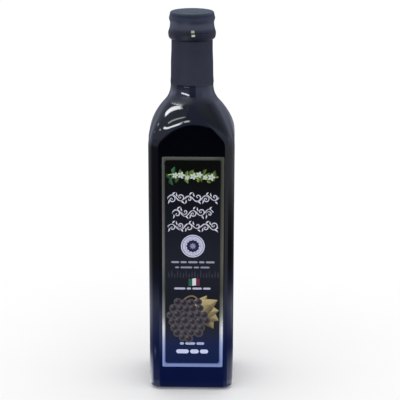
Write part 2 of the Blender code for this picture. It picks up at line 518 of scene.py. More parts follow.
def cap_colour_with_painted_shade(w: NodeWriter) -> Socket:
    """Return the cap's grey with painted light and shade: paler on its cone and top where light falls from
    above, darker in its groove and down its band in painted shade.

    Args:
        w: Writer of the material's nodes.

    Returns:
        The colour.
    """
    # Painted light and shade by height: lighter where the cap faces up, darker in the groove and on the
    # band below.
    stops = [
        (0.10, (0.004, 0.005, 0.018)),
        (0.20, (0.009, 0.011, 0.026)),
        (0.31, (0.010, 0.012, 0.027)),
        (0.375, (0.019, 0.021, 0.038)),
        (0.445, (0.042, 0.047, 0.073)),
        (0.55, (0.045, 0.049, 0.080)),
        (0.655, (0.016, 0.020, 0.042)),
        (0.76, (0.027, 0.031, 0.058)),
        (0.865, (0.012, 0.018, 0.042)),
        (0.94, (0.030, 0.045, 0.055)),
    ]
    return w.ramp(w.math("DIVIDE", w.math("SUBTRACT", w.object_height(), 0.246), 0.020), stops)


def drifting_colour(low: Colour, high: Colour, size: float) -> Callable[[NodeWriter], Socket]:
    """Return a maker of a colour that drifts between two close tones over noise of the given scale."""
    return lambda w: w.mix(w.ranged(w.noise(size, 3), 0.3, 0.7), low, high)


def ink_colour(w: NodeWriter) -> Socket:
    """Return the colour that the piece carries on its points."""
    return w.add("ShaderNodeAttribute", {"attribute_name": POINT_COLOUR}).outputs["Color"]


GLASS = Finish(
    "dark_glass",
    roughness=0.035,
    smudge_size=45,
    smudge_roughness=0.03,
    dust_share=0.02,
    grain_size=1200,
    wave_size=30,
    wave_share=0.97,
    relief=0.01,
    relief_depth=0.0004,
    dull_height=0.2066,
    dull_reach=0.0034,
    dull_share=0.28,
)
CAP = Finish(
    "satin_cap",
    roughness=0.44,
    specular=0.20,
    smudge_size=120,
    smudge_roughness=0.08,
    relief=0.10,
    dust_share=0.12,
)
SLEEVE = Finish(
    "shrunk_film",
    roughness=0.60,
    specular=0.10,
    smudge_size=90,
    smudge_roughness=0.08,
    relief=0.16,
    wave_size=150,
)
GROUND = Finish(
    "label_ground",
    roughness=0.40,
    specular=0.08,
    coat=0.34,
    coat_roughness=0.045,
    relief=0.03,
    wave_size=70,
)
FOIL = Finish(
    "silver_foil",
    roughness=0.09,
    metallic=0.45,
    smudge_size=220,
    smudge_roughness=0.06,
    grain_size=1800,
    wave_size=160,
    wave_share=0.6,
    relief=0.10,
)
INK = Finish("printed_ink", roughness=0.40, specular=0.2, coat=0.5, coat_roughness=0.08, relief=0.03)


@dataclass
class GlassBottle:
    """The glass: a square with round corners that grows round up the shoulder and into the neck."""

    half_side: float = 29.45 * MM
    corner_radius: float = 8.0 * MM
    heel_radius: float = 4.2 * MM
    ring_width: float = 4.2 * MM
    push_up: float = 2.6 * MM
    shoulder_start: float = 181.4 * MM
    break_radius: float = 11.8 * MM
    break_tilt: float = math.radians(11.3)
    shoulder_radius: float = 41.9 * MM
    neck_fillet: float = 16.0 * MM
    neck_radius: float = 14.64 * MM
    round_from: float = 176.2 * MM
    round_by: float = 207.5 * MM
    finish_radius: float = 13.1 * MM
    finish_top: float = 262.8 * MM
    finish_bevel: float = 0.8 * MM
    sleeve_from: float = 215.4 * MM
    cap_from: float = 246.4 * MM
    flat_share: float = 5 / 14
    corner_steps: int = 22
    soft_by: float = 0.10
    wave_height: float = 0.03 * MM
    seam_height: float = 0.07 * MM
    seam_width: float = 0.20 * MM
    knurl_depth: float = 0.14 * MM
    knurl_half_width: float = 1.45 * MM
    knurl_count: int = 150
    knurl_steps: int = 8

    def sections(
        self, half: np.ndarray, roundness: np.ndarray, corner: np.ndarray
    ) -> tuple[np.ndarray, np.ndarray]:
        """Return the outlines of sections, a row each.

        A section is a square of the given half width with round corners. A point's distance from the axis
        is half / cos(angle) on a flat, and on a corner the far hit of a ray with the corner's circle.
        Roundness draws that distance towards the half width, and spreads the points from even steps along
        the square to even angles. Just above roundness 0 the section goes over to the superellipse of the
        same diagonal, half / (|cos|^p + |sin|^p)^(1/p), whose curvature has no steps.

        Args:
            half: Half widths.
            roundness: 0 for the square, 1 for the circle.
            corner: Corner radii of the square.

        Returns:
            The x and the y of each point.
        """
        half, roundness, corner = (np.asarray(v, float)[:, None] for v in (half, roundness, corner))
        centre = half - corner
        wing = np.array([0.006, 0.018, 0.05, 0.13, 0.26, 0.42, 0.60, 0.80])
        stations = np.concatenate([[-1.0], -wing[::-1], [0.0], wing])[None, :]
        turns = (np.arange(self.corner_steps) * QUARTER / self.corner_steps)[None, :]
        on_flat = np.arctan2(centre * stations, half)
        on_corner = np.arctan2(centre + corner * np.sin(turns), centre + corner * np.cos(turns))
        span = QUARTER * self.flat_share
        even = np.concatenate([span * stations / 2, span / 2 + (QUARTER - span) * turns / QUARTER], 1)
        angle = blend(np.concatenate([on_flat, on_corner], 1), even, roundness)
        angle = np.concatenate([angle + quarter * QUARTER for quarter in range(4)], 1)
        folded = np.abs((angle + QUARTER / 2) % QUARTER - QUARTER / 2)
        along = centre * (np.cos(folded) + np.sin(folded))
        across = centre * (np.cos(folded) - np.sin(folded))
        bent = along + np.sqrt(np.maximum(corner**2 - across**2, 0))
        reach = np.where(folded <= np.arctan2(centre, half), half / np.cos(folded), bent)
        reach = blend(reach, half, roundness)
        diagonal = blend(math.sqrt(2) * centre + corner, half, roundness)
        power = 1 / np.maximum(0.5 - np.log2(diagonal / half), 0.02)
        soft = half / (np.cos(folded) ** power + np.abs(np.sin(folded)) ** power) ** (1 / power)
        reach = blend(reach, soft, smooth_step(roundness, 0, self.soft_by))
        return reach * np.cos(angle), reach * np.sin(angle)

    def shoulder(self) -> tuple[np.ndarray, np.ndarray]:
        """Return height and half width up the shoulder: a tight arc, a long arc, and a hollow fillet.

        Each arc starts at the tilt from upright where the one below it ends, and the long arc ends where
        the fillet that follows comes upright at the neck's radius.

        Returns:
            The heights and the half widths.
        """
        across = self.half_side - self.break_radius * (1 - math.cos(self.break_tilt)) - self.neck_radius
        turned = self.shoulder_radius * math.cos(self.break_tilt) + self.neck_fillet - across
        steepest = math.acos(turned / (self.shoulder_radius + self.neck_fillet))
        heights = [np.array([self.shoulder_start])]
        halves = [np.array([self.half_side])]
        arcs = [
            (self.break_radius, 0.0, self.break_tilt, 5),
            (self.shoulder_radius, self.break_tilt, steepest, 40),
            (-self.neck_fillet, steepest, 0.0, 24),
        ]
        for radius, start, end, steps in arcs:
            tilt = np.linspace(start, end, steps + 1)[1:]
            heights.append(heights[-1][-1] + radius * (np.sin(tilt) - math.sin(start)))
            halves.append(halves[-1][-1] - radius * (math.cos(start) - np.cos(tilt)))
        return np.concatenate(heights), np.concatenate(halves)

    def levels(self) -> tuple[np.ndarray, ...]:
        """Return height, half width, roundness and corner radius of every section, from the foot up.

        The push-up's height falls with the square of the distance from its middle. The heel is a quarter
        circle. The neck inside the sleeve and the cap is a plain tube.

        Returns:
            Four arrays of one length.
        """
        outer = self.half_side - self.heel_radius
        ring_inner = outer - self.ring_width
        small = self.corner_radius - self.heel_radius
        share = np.linspace(0.05, 1, 16)
        under = (self.push_up * (1 - share**2), ring_inner * share, 1 - 0.55 * share, small * share)
        lip = 0.35 * MM
        recess = self.knurl_depth + 0.02 * MM
        ring_half = [ring_inner + lip, outer - lip, outer]
        ring = ([recess, recess, 0.0], ring_half, [0.35, 0.0, 0.0], [small] * 3)
        turn = np.linspace(0, QUARTER, 9)[1:]
        inset = self.heel_radius * (1 - np.sin(turn))
        heel_z = self.heel_radius * (1 - np.cos(turn))
        heel = (heel_z, self.half_side - inset, turn * 0, self.corner_radius - inset)
        body = np.linspace(self.heel_radius, self.round_from, 52)[1:]
        band = np.linspace(self.round_from, self.shoulder_start, 6)[1:-1]
        rise, narrow = self.shoulder()
        heights = np.concatenate([body, band, rise])
        halves = np.concatenate([np.full(len(body) + len(band), self.half_side), narrow])
        roundness = smooth_step(heights, self.round_from, self.round_by)
        side = (heights, halves, roundness, np.full(len(heights), self.corner_radius))
        top, bevel, inside = self.finish_top, self.finish_bevel, self.finish_radius
        neck_z = [self.sleeve_from] * 2 + [self.cap_from] * 2 + [top - bevel, top]
        neck_r = [self.neck_radius, 14.0 * MM, 13.3 * MM, inside, inside, inside - bevel]
        neck = (neck_z, neck_r, [1.0] * 6, [self.corner_radius] * 6)
        return tuple(np.concatenate(parts) for parts in zip(under, ring, heel, side, neck))

    def surface(self) -> np.ndarray:
        """Return the glass as rings of points.

        Over the sections lie slow waves along the outward direction, a sum of sines of the height and the
        angle, and a fine mould seam up the middle of the two sides, a bell curve across it.

        Returns:
            An array of rings of points.
        """
        height, half, roundness, corner = self.levels()
        x, y = self.sections(half, roundness, corner)
        z = np.broadcast_to(height[:, None], x.shape)
        angle = np.arctan2(y, x)
        wave = np.sin(z / (9.1 * MM) + 2 * np.sin(3 * angle)) + np.sin(z / (23 * MM) + 5 * angle + 1)
        exposed = smooth_step(z, 4 * MM, 18 * MM) * (1 - smooth_step(z, 150 * MM, 175 * MM))
        grown = 1 + self.wave_height * 0.5 * wave * exposed / np.maximum(np.hypot(x, y), MM)
        seamed = smooth_step(z, 0.5 * MM, 3 * MM) * (1 - smooth_step(z, 214 * MM, 215.2 * MM))
        outwards = np.sign(x) * (np.abs(x) > np.abs(y))
        seam = outwards * self.seam_height * bump(y, 0, self.seam_width) * seamed
        return np.stack([x * grown + seam, y * grown, z], -1)

    def knurl(self) -> tuple[np.ndarray, np.ndarray]:
        """Return the two sides of the strip of fine ridges that the bottle stands on.

        The strip follows the ring's outline. Its lower side is at 0 on the crests and rises by the knurl's
        depth between them, as the square of the sine of the arc length.

        Returns:
            The lower grid and the grid above it.
        """
        middle = self.half_side - self.heel_radius - self.ring_width / 2
        steps = self.knurl_count * self.knurl_steps
        small = self.corner_radius - self.heel_radius
        x, y = self.sections(np.array([middle]), np.array([0.1]), np.array([small]))
        track = even_points(np.stack([x[0], y[0]], -1), steps, closed=True)
        ahead = np.roll(track, -1, 0) - np.roll(track, 1, 0)
        out = np.stack([ahead[:, 1], -ahead[:, 0]], -1) / np.hypot(*ahead.T)[:, None]
        across = np.array([-1.0, -0.75, 0.0, 0.75, 1.0]) * self.knurl_half_width
        flat = track[:, None, :] + out[:, None, :] * across[None, :, None]
        valley = np.sin(np.pi * np.arange(steps) / self.knurl_steps) ** 2
        ends = np.array([1.0, 0.0, 0.0, 0.0, 1.0])
        rise = self.knurl_depth * np.maximum(valley[:, None], ends[None, :])
        above = np.full_like(rise, self.knurl_depth + 0.1 * MM)
        return np.concatenate([flat, rise[..., None]], -1), np.concatenate([flat, above[..., None]], -1)

    def build(self, groups: Groups) -> None:
        """Make the glass and the knurl under it.

        Args:
            groups: The shared node groups by name.
        """
        material = GLASS.make(groups, glass_colour_with_painted_light)
        glass = Shell()
        glass.add_turned(self.surface())
        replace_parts(glass.build("bottle_glass", material, Slot.GLASS, sharp=40), "glass_bottle")
        foot = Shell()
        foot.add_slab(*self.knurl(), (1, 1, 1), around=True)
        foot.build("foot_knurl", material, Slot.GLASS)


@dataclass
class ScrewCap:
    """The rolled metal cap: a bead, a slanting groove, a flared skirt and a tamper band on short bridges.

    The outline gives radius and height in millimetres, from the top's rim down.
    """

    top: float = 265.0 * MM
    bottom: float = 246.7 * MM
    bore: float = 13.4 * MM
    roof: float = 1.8 * MM
    slant: float = 0.30 * MM
    slant_starts: Spot = (252.6 * MM, 255.5 * MM)
    slant_ends: Spot = (259.4 * MM, 262.0 * MM)
    around: int = 288
    bridges: int = 24
    slit_height: float = 252.15 * MM
    slit_depth: float = 0.30 * MM
    flutes: int = 72
    flute_depth: float = 0.05 * MM
    outline: tuple[Spot, ...] = (
        (14.10, 265.00), (14.50, 264.86), (14.86, 264.45), (15.02, 263.80), (15.20, 262.70),
        (15.52, 261.60), (15.67, 260.75), (15.58, 260.00), (15.30, 259.10), (15.05, 258.20),
        (14.94, 257.20), (15.02, 256.20), (15.26, 254.60), (15.56, 253.30), (15.84, 252.40),
        (16.08, 251.80), (16.26, 251.00), (16.24, 250.20), (16.16, 249.40), (16.04, 248.40),
        (15.80, 247.60), (15.40, 247.00), (14.90, 246.70),
    )

    def surface(self) -> np.ndarray:
        """Return the cap as rings of points, from the middle of its top to the middle of its inner roof.

        The outer rings follow the outline, read at even steps of its length. Their height shifts by a
        sine of the angle, which slants the groove as rolling leaves it. A slit, a bell curve in height, is
        broken by bridges at even angles, and faint flutes run round the bead.

        Returns:
            An array of rings of points.
        """
        line = even_points(np.array(self.outline) * MM, 110)
        radius, height = line[:, :1], line[:, 1:]
        angle = np.linspace(0, FULL, self.around, endpoint=False)[None, :]
        middle = smooth_step(height, *self.slant_starts) * (1 - smooth_step(height, *self.slant_ends))
        z = height + self.slant * middle * np.sin(angle + 0.6)
        open_share = 1 - smooth_step(np.cos(angle * self.bridges), 0.35, 0.75)
        slit = self.slit_depth * bump(height, self.slit_height, 0.16 * MM) * open_share
        flutes = self.flute_depth * bump(height, 260.9 * MM, 1.2 * MM) * np.sin(angle * self.flutes) ** 2
        crown = np.array([0.5, 6.0, 11.2, 11.7, 12.2, 13.3])[:, None] * MM
        dip = np.array([0.12, 0.12, 0.12, 0.10, 0.02, 0.0])[:, None] * MM
        inner_r = np.array([self.bore + 0.9 * MM, self.bore, self.bore, 0.5 * MM])[:, None]
        roof = self.top - self.roof
        inner_z = np.array([self.bottom + 0.05 * MM, self.bottom + 0.2 * MM, roof, roof])[:, None]
        lid = around_axis(crown, angle, self.top - dip)
        skirt = around_axis(radius - slit - flutes, angle, z)
        return np.concatenate([lid, skirt, around_axis(inner_r, angle, inner_z)])

    def mark(self, low: float, high: float, start: float, end: float) -> list[np.ndarray]:
        """Return the two sides of a small printed bar on the tamper band.

        Args:
            low: Its lower edge.
            high: Its upper edge.
            start: Its left edge, as x.
            end: Its right edge, as x.

        Returns:
            The outer grid and the inner one.
        """
        line = np.array(self.outline)[::-1] * MM
        height = np.linspace(low, high, 6)[:, None]
        x = np.linspace(start, end, 9)[None, :]
        radius = np.interp(height, line[:, 1], line[:, 0])
        depths = [-np.sqrt((radius + lift) ** 2 - x**2) for lift in (0.05 * MM, -0.05 * MM)]
        return [np.stack(np.broadcast_arrays(x, depth, height), -1) for depth in depths]

    def build(self, groups: Groups) -> None:
        """Make the cap and the two pale bars printed on its band.

        Args:
            groups: The shared node groups by name.
        """
        cap = Shell()
        cap.add_turned(self.surface())
        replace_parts(cap.build("rolled_cap", CAP.make(groups, cap_colour_with_painted_shade), Slot.CAP), "screw_cap")
        marks = Shell()
        marks.add_slab(*self.mark(252.6 * MM, 254.3 * MM, -0.3 * MM, 1.9 * MM), srgb(150, 158, 140))
        marks.add_slab(*self.mark(250.2 * MM, 251.6 * MM, 0.0 * MM, 2.3 * MM), srgb(178, 184, 170))
        marks.build("band_marks", INK.make(groups, ink_colour), Slot.CAP)


@dataclass
class NeckSleeve:
    """The film shrunk on the neck, with a slightly wavy hem and small creases above it.

    The table of radii gives height and radius in millimetres.
    """

    wall: float = 0.25 * MM
    around: int = 240
    rows: int = 90
    top: float = 246.35 * MM
    hem: float = 215.8 * MM
    front_rise: float = 0.9 * MM
    hem_wave: float = 0.10 * MM
    crease_depth: float = 0.11 * MM
    crease_height: float = 218.0 * MM
    crease_side: float = math.radians(247)
    pleat_depth: float = 0.035 * MM
    wave_depth: float = 0.03 * MM
    overlap: float = 0.10 * MM
    radii: tuple[Spot, ...] = (
        (215.7, 14.77), (216.9, 14.82), (217.7, 14.79), (220.7, 14.60), (224.6, 14.52),
        (231.0, 14.46), (234.5, 14.29), (238.4, 14.13), (245.4, 14.08), (247.0, 14.07),
    )

    def surface(self) -> np.ndarray:
        """Return the film as rings of points, down its outer side and up its inner one.

        The hem rises a little towards the front, with the square of a sine of the angle. Creases are narrow
        sines across the film that fade with a bell curve above the hem and away from the front left, and a
        thin overlap runs up the back.

        Returns:
            An array of rings of points.
        """
        share = np.linspace(1, 0, self.rows)[:, None]
        angle = np.linspace(0, FULL, self.around, endpoint=False)[None, :]
        front = 0.5 - 0.5 * np.sin(angle)
        hem = self.hem + self.front_rise * front**2 + self.hem_wave * np.sin(5 * angle + 0.4)
        z = hem + (self.top - hem) * share**1.25
        table = np.array(self.radii) * MM
        radius = np.interp(z, table[:, 0], table[:, 1])
        nearby = np.exp(-((np.sin((angle - self.crease_side) / 2) / 0.22) ** 2))
        crease = np.sin(z / (0.42 * MM) + 2.2 * np.sin(5 * angle)) * np.sin(13 * angle + z / (1.1 * MM))
        crease = crease * bump(z, self.crease_height, 1.5 * MM) * nearby
        pleat = np.sin(46 * angle + 1.5 * np.sin(z / (2 * MM))) * bump(z, 216.6 * MM, 1.6 * MM)
        slow = np.sin(z / (5.5 * MM) + 2 * angle) * np.sin(3 * angle + 1)
        radius = radius + self.crease_depth * crease + self.pleat_depth * pleat + self.wave_depth * slow
        back = np.abs(np.angle(np.exp(1j * (angle - QUARTER))))
        radius = radius + self.overlap * (1 - smooth_step(back, 0.18, 0.21))
        outer, inner = (around_axis(radius - depth, angle, z) for depth in (0, self.wall))
        return np.concatenate([outer, inner[::-1]])

    def build(self, groups: Groups) -> None:
        """Make the sleeve.

        Args:
            groups: The shared node groups by name.
        """
        sleeve = Shell()
        sleeve.add_tube(self.surface())
        film = SLEEVE.make(groups, drifting_colour((0.021, 0.024, 0.041), (0.026, 0.029, 0.048), 55))
        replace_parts(sleeve.build("shrink_sleeve", film, Slot.SLEEVE), "neck_sleeve")


SILVER = srgb(196, 196, 212)
PALE = srgb(214, 214, 232)


@dataclass
class FrontLabel:
    """The tall front label: a navy ground, a foil border, and print made of simple shapes.

    Places on it are u to the right of its middle line and v above the foot. They and its sizes are in
    millimetres. The scrolls give left, right, low, high, number of half waves and seed. The print lines
    give left, right, height, half width, lengths of the bars and colour. The lobes give angle, length and
    half width, and the bunch gives the start, the height and the number of each row of grapes.
    """

    face: float = 29.45
    middle: float = 1.12
    lean: float = 0.003
    half_width: float = 21.2
    bottom: float = 17.8
    top: float = 171.1
    lift: float = 0.15
    corner_radius: float = 0.9
    stem_reach: float = 17.0
    leaf_limits: Spot = (-18.4, 18.6)
    blossom_height: float = 157.4
    seal_centre: Spot = (0.0, 107.6)
    seal_radius: float = 8.15
    trees_foot: float = 84.2
    fields_foot: float = 78.7
    fields_size: Spot = (2.55, 5.2)
    leaf_root: Spot = (4.5, 56.5)
    scrolls: tuple[tuple[float, ...], ...] = (
        (-17.3, 17.6, 137.4, 146.4, 6, 0.4),
        (-13.9, 13.9, 126.8, 136.2, 5, 1.9),
        (-17.2, 17.2, 117.4, 126.0, 6, 3.1),
    )
    print_lines: tuple[tuple, ...] = (
        (-14.9, 15.1, 95.9, 0.68, (5.2, 4.1, 6.3, 3.6, 5.8), srgb(142, 144, 160)),
        (-12.2, 11.6, 92.1, 0.62, (2.1, 6.6, 2.9, 5.0), srgb(134, 136, 156)),
        (-12.9, 12.4, 76.6, 0.70, (6.4, 2.4, 5.4, 4.2), srgb(176, 178, 200)),
        (-8.9, 8.2, 35.6, 0.95, (2.4, 5.9, 4.6), srgb(164, 172, 208)),
        (-11.5, 11.0, 29.6, 1.50, (6.8, 4.6, 4.4), srgb(196, 204, 236)),
    )
    lobes: tuple[tuple[float, float, float], ...] = (
        (70, 16.0, 4.8),
        (42, 17.5, 5.2),
        (14, 15.5, 5.2),
        (-14, 15.0, 4.8),
        (-44, 14.0, 4.2),
        (96, 13.5, 4.0),
    )
    bunch: tuple[tuple[float, float, int], ...] = (
        (-10.4, 66.2, 4),
        (-13.6, 61.7, 5),
        (-15.2, 57.0, 6),
        (-14.4, 52.3, 6),
        (-12.6, 47.7, 5),
        (-10.4, 43.3, 4),
        (-7.4, 39.6, 2),
    )
    shell: Shell = field(default_factory=Shell)

    def place(self, u: np.ndarray, v: np.ndarray, lift: Numbers) -> np.ndarray:
        """Return the points in metres of places on the label.

        Args:
            u: Millimetres to the right of the label's middle line.
            v: Millimetres above the foot.
            lift: Millimetres in front of the label's ground.

        Returns:
            Points of the shape of u with three coordinates.
        """
        u, v = np.broadcast_arrays(np.asarray(u, float), np.asarray(v, float))
        x = self.middle + u + self.lean * (v - (self.top + self.bottom) / 2)
        y = -(self.face + self.lift + self.relief(u, v) + lift)
        return np.stack([x, y, v], -1) * MM

    def relief(self, u: np.ndarray, v: np.ndarray) -> np.ndarray:
        """Return the label's own unevenness.

        A crease crosses the upper left corner as a bell curve across a slanting line, shallow blisters lie
        along the right border as a product of sines, and the whole sheet has slow waves.

        Args:
            u: Millimetres to the right of the label's middle line.
            v: Millimetres above the foot.

        Returns:
            Millimetres outwards.
        """
        crease = bump(u + v, self.top - self.half_width - 3.2, 0.55) * (1 - smooth_step(u, -18, -14))
        blister = 0.5 + 0.5 * np.sin(v / 2.9 + 1.4 * np.sin(v / 7)) * np.sin(v / 1.3 + u)
        right = bump(u, self.half_width - 1.3, 1.1) * blister
        slow = np.sin(v / 19 + u / 11) * np.sin(u / 7 + 1)
        return 0.10 * crease + 0.035 * right + 0.012 * slow

    def finish(self, name: str, material: bpy.types.Material) -> bpy.types.Object:
        """Make an object of the shapes added since the last one, and return it."""
        finished, self.shell = self.shell, Shell()
        return finished.build(name, material, Slot.LABEL)

    def add(self, u: np.ndarray, v: np.ndarray, lift: Numbers, colour: Ink, around: bool = False) -> None:
        """Add a printed shape, as a slab whose back is sunk in the ground.

        Args:
            u: Grid of places across the label.
            v: Grid of places up the label.
            lift: How far it stands in front of the ground.
            colour: One colour or a grid of them.
            around: Whether the last row joins the first.
        """
        self.shell.add_slab(self.place(u, v, lift), self.place(u, v, -0.05), colour, around)

    def ribbon(self, path: np.ndarray, half: Numbers, colour: Colour, lift: float = 0.03) -> None:
        """Add a stroke along a path: its points moved sideways by the half width, three points across.

        Args:
            path: Points (u, v) along its middle.
            half: Half width at each point.
            colour: Its colour.
            lift: How far its middle stands in front of the ground.
        """
        ahead = np.gradient(path, axis=0)
        side = np.stack([-ahead[:, 1], ahead[:, 0]], -1) / np.maximum(np.hypot(*ahead.T), 1e-9)[:, None]
        half = np.broadcast_to(np.asarray(half, float), len(path))[:, None]
        across = np.array([-1.0, 0.0, 1.0])[None, :]
        u, v = (path[:, [k]] + side[:, [k]] * half * across for k in range(2))
        self.add(u, v, lift * np.array([0.5, 1.0, 0.5])[None, :] + 0 * u, colour)

    def bar(self, start: float, end: float, v: float, half: float, colour: Colour) -> None:
        """Add a level bar with round ends, whose half width falls as a quarter circle at either end.

        Args:
            start: Its left end.
            end: Its right end.
            v: Its height above the foot.
            half: Its half width.
            colour: Its colour.
        """
        u = np.linspace(start, end, 15)
        share = np.clip(np.minimum(u - start, end - u) / half, 0.02, 1)
        self.ribbon(np.stack([u, np.full_like(u, v)], -1), half * np.sqrt(1 - (1 - share) ** 2), colour)

    def disc(
        self,
        centre: Spot,
        radius: float,
        tint: Tint,
        lift: float,
        steps: int = 13,
        lobes: int = 0,
        depth: float = 0.0,
    ) -> None:
        """Add a round field.

        A square grid (a, b) from -1 to 1 is carried to the disc as a * sqrt(1 - b^2 / 2) and
        b * sqrt(1 - a^2 / 2), and its edge may swell in lobes.

        Args:
            centre: Its middle.
            radius: Its radius.
            tint: Gives the colours from the unit places across and up.
            lift: How far it stands in front of the ground.
            steps: Points along one side of the grid.
            lobes: Number of lobes round its edge.
            depth: Share of the radius by which they swell.
        """
        a, b = np.meshgrid(np.linspace(-1, 1, steps), np.linspace(-1, 1, steps), indexing="ij")
        x, y = a * np.sqrt(1 - b**2 / 2), b * np.sqrt(1 - a**2 / 2)
        grown = radius * (1 + depth * np.cos(lobes * np.arctan2(y, x)) * np.hypot(x, y) ** 2)
        self.add(centre[0] + x * grown, centre[1] + y * grown, lift, tint(x, y))

    def ring(self, centre: Spot, inner: float, outer: float, colour: Colour, lift: float) -> None:
        """Add a flat ring between two circles about one middle.

        Args:
            centre: Their middle.
            inner: Radius of the inner circle.
            outer: Radius of the outer circle.
            colour: Its colour.
            lift: How far it stands in front of the ground.
        """
        angle = np.linspace(0, FULL, 72, endpoint=False)[:, None]
        radius = np.array([inner, outer])[None, :]
        self.add(centre[0] + radius * np.cos(angle), centre[1] + radius * np.sin(angle), lift, colour, True)

    def leaf(
        self,
        root: Spot,
        tip: Spot,
        width: float,
        low: Colour,
        high: Colour,
        lift: float,
        bend: float = 0.12,
    ) -> None:
        """Add a leaf.

        Its middle line runs from root to tip, bent sideways by a sine. Its half width is the width times
        sin(pi t^0.8), and its colour goes from low to high from one edge to the other.

        Args:
            root: Where it starts.
            tip: Where it ends.
            width: Its greatest half width.
            low: Colour at one edge.
            high: Colour at the other.
            lift: How far it stands in front of the ground.
            bend: Share of its length by which it bends.
        """
        t = np.linspace(0.01, 0.99, 15)[:, None]
        across = np.linspace(-1, 1, 7)[None, :]
        along = np.array(tip) - np.array(root)
        reach = width * np.sin(math.pi * t**0.8) / math.hypot(*along)
        aside = bend * np.sin(math.pi * t) + reach * across
        u = root[0] + along[0] * t - along[1] * aside
        v = root[1] + along[1] * t + along[0] * aside
        colour = blend(low, high, (0.5 + 0.5 * across + 0 * t)[..., None])
        vein = (0.35 * bump(across, 0, 0.22) + 0 * t)[..., None]
        self.add(u, v, lift, blend(colour, np.array(high) * 1.2, vein))

    def ground(self, groups: Groups) -> None:
        """Make the navy sheet.

        Its rows narrow near both ends as the round corners ask. Its colour is the navy print with painted
        reflection over it: black towards the top, a lighter painted sheen in the middle and deep blue at
        the foot, in a mix of smooth steps.

        Args:
            groups: The shared node groups by name.
        """
        radius = self.corner_radius
        ends = radius * (1 - np.cos(np.linspace(0, QUARTER, 7)))[:-1]
        inner = np.linspace(self.bottom + radius, self.top - radius, 240)
        v = np.concatenate([self.bottom + ends, inner, self.top - ends[::-1]])[:, None]
        near = np.minimum(np.minimum(v - self.bottom, self.top - v), radius)
        inset = radius - np.sqrt(np.maximum(radius**2 - (radius - near) ** 2, 0))
        u = np.linspace(-1, 1, 90)[None, :] * (self.half_width - inset)
        navy = np.array([0.0033, 0.0047, 0.0100])
        royal = np.array([0.0038, 0.0120, 0.0640])
        dark = np.array([0.0015, 0.0025, 0.0013])
        # Painted reflection over the navy print: a lighter painted sheen in the middle, deep blue at the
        # foot, black towards the top.
        painted_sheen = bump(v, 94, 32)[..., None] * np.array([0.0075, 0.0078, 0.0125])
        blue = 1 - smooth_step(v, 30, 52)[..., None]
        black = smooth_step(v, 128, 166)[..., None]
        tone = navy + painted_sheen + (royal - navy) * blue + (dark - navy) * black
        tone = np.broadcast_to(tone, (*np.broadcast_shapes(u.shape, v.shape), 3))
        self.shell.add_slab(self.place(u, v, 0), self.place(u, v, -self.lift - 0.03), tone)
        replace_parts(self.finish("label_sheet", GROUND.make(groups, ink_colour)), "front_label")

    def rounded(self, left: float, right: float, low: float, high: float, radius: float) -> np.ndarray:
        """Return points round a rectangle with round corners, the same count on every side and corner.

        Args:
            left: Its left edge.
            right: Its right edge.
            low: Its lower edge.
            high: Its upper edge.
            radius: Radius of its corners.

        Returns:
            An array of points (u, v).
        """
        turn = np.linspace(0, QUARTER, 9)
        parts = []
        for n, (u, v) in enumerate([(right, high), (left, high), (left, low), (right, low)]):
            angle = turn + n * QUARTER
            middle_u = u - radius if u == right else u + radius
            middle_v = v - radius if v == high else v + radius
            corner = [middle_u + radius * np.cos(angle), middle_v + radius * np.sin(angle)]
            parts.append(np.stack(corner, -1))
        share = np.linspace(0, 1, 80)[1:-1, None]
        sides = [blend(parts[n][-1], parts[(n + 1) % 4][0], share) for n in range(4)]
        return np.concatenate([line for pair in zip(parts, sides) for line in pair])

    def foil_tone_with_painted_reflection(self, u: np.ndarray, v: np.ndarray, share: np.ndarray) -> np.ndarray:
        """Return the foil's colours: bright blue at the foot, grey above, with warm patches at the right.

        The colour is painted reflection read from the height by straight interpolation, with a bright
        painted highlight low down. It darkens inwards and up the right side in painted shade across the
        raised foil, and goes over to a warmer one in patches that are a product of sines.

        Args:
            u: Places across the label.
            v: Places up the label.
            share: Way from the foil's outer edge, 0, to its inner one, 1.

        Returns:
            A grid of colours.
        """
        shades = [
            (17, (140, 158, 219)),
            (27, (150, 168, 226)),
            (35, (172, 188, 238)),
            (43, (214, 218, 236)),
            (48, (226, 228, 232)),
            (56, (146, 149, 149)),
            (76, (92, 95, 88)),
            (96, (122, 122, 120)),
            (130, (108, 108, 109)),
            (151, (97, 99, 96)),
            (172, (98, 100, 97)),
        ]
        heights = [height for height, _ in shades]
        table = np.array([srgb(*shade) for _, shade in shades])
        tone = np.stack([np.interp(v, heights, table[:, k]) for k in range(3)], -1)
        # Painted light and shade: brighter at the foil's outer edge, darker inwards and up the right side.
        tone = tone * (1.25 - 0.50 * smooth_step(share, 0.30, 0.95) - 0.25 * bump(share, 0.97, 0.12))
        tone = tone * (1 - 0.30 * smooth_step(u, 12, 19) * smooth_step(v, 52, 66))[..., None]
        warm = tone * np.array([1.02, 1.04, 0.78])
        patches = (0.5 + 0.5 * np.sin(v / 5.3) * np.sin(v / 2.1 + u)) * smooth_step(u, 10, 18)
        return blend(tone, warm, (patches * smooth_step(v, 36, 62))[..., None])

    def border(self, groups: Groups) -> None:
        """Make the foil border: a frame between two rounded rectangles, cut across in even shares.

        Args:
            groups: The shared node groups by name.
        """
        side, low, high = self.half_width, self.bottom, self.top
        outer = self.rounded(-side + 0.1, side - 0.1, low + 0.1, high - 0.1, self.corner_radius)
        inner = self.rounded(-side + 2.1, side - 2.5, low + 2.9, high - 2.5, 1.7)
        share = np.linspace(0, 1, 9)[None, :, None]
        grid = blend(outer[:, None, :], inner[:, None, :], share)
        u, v = grid[..., 0], grid[..., 1]
        lift = 0.02 + 0.03 * np.sin(math.pi * share[..., 0]) + 0 * u
        self.add(u, v, lift, self.foil_tone_with_painted_reflection(u, v, share), True)
        self.finish("foil_border", FOIL.make(groups, ink_colour))

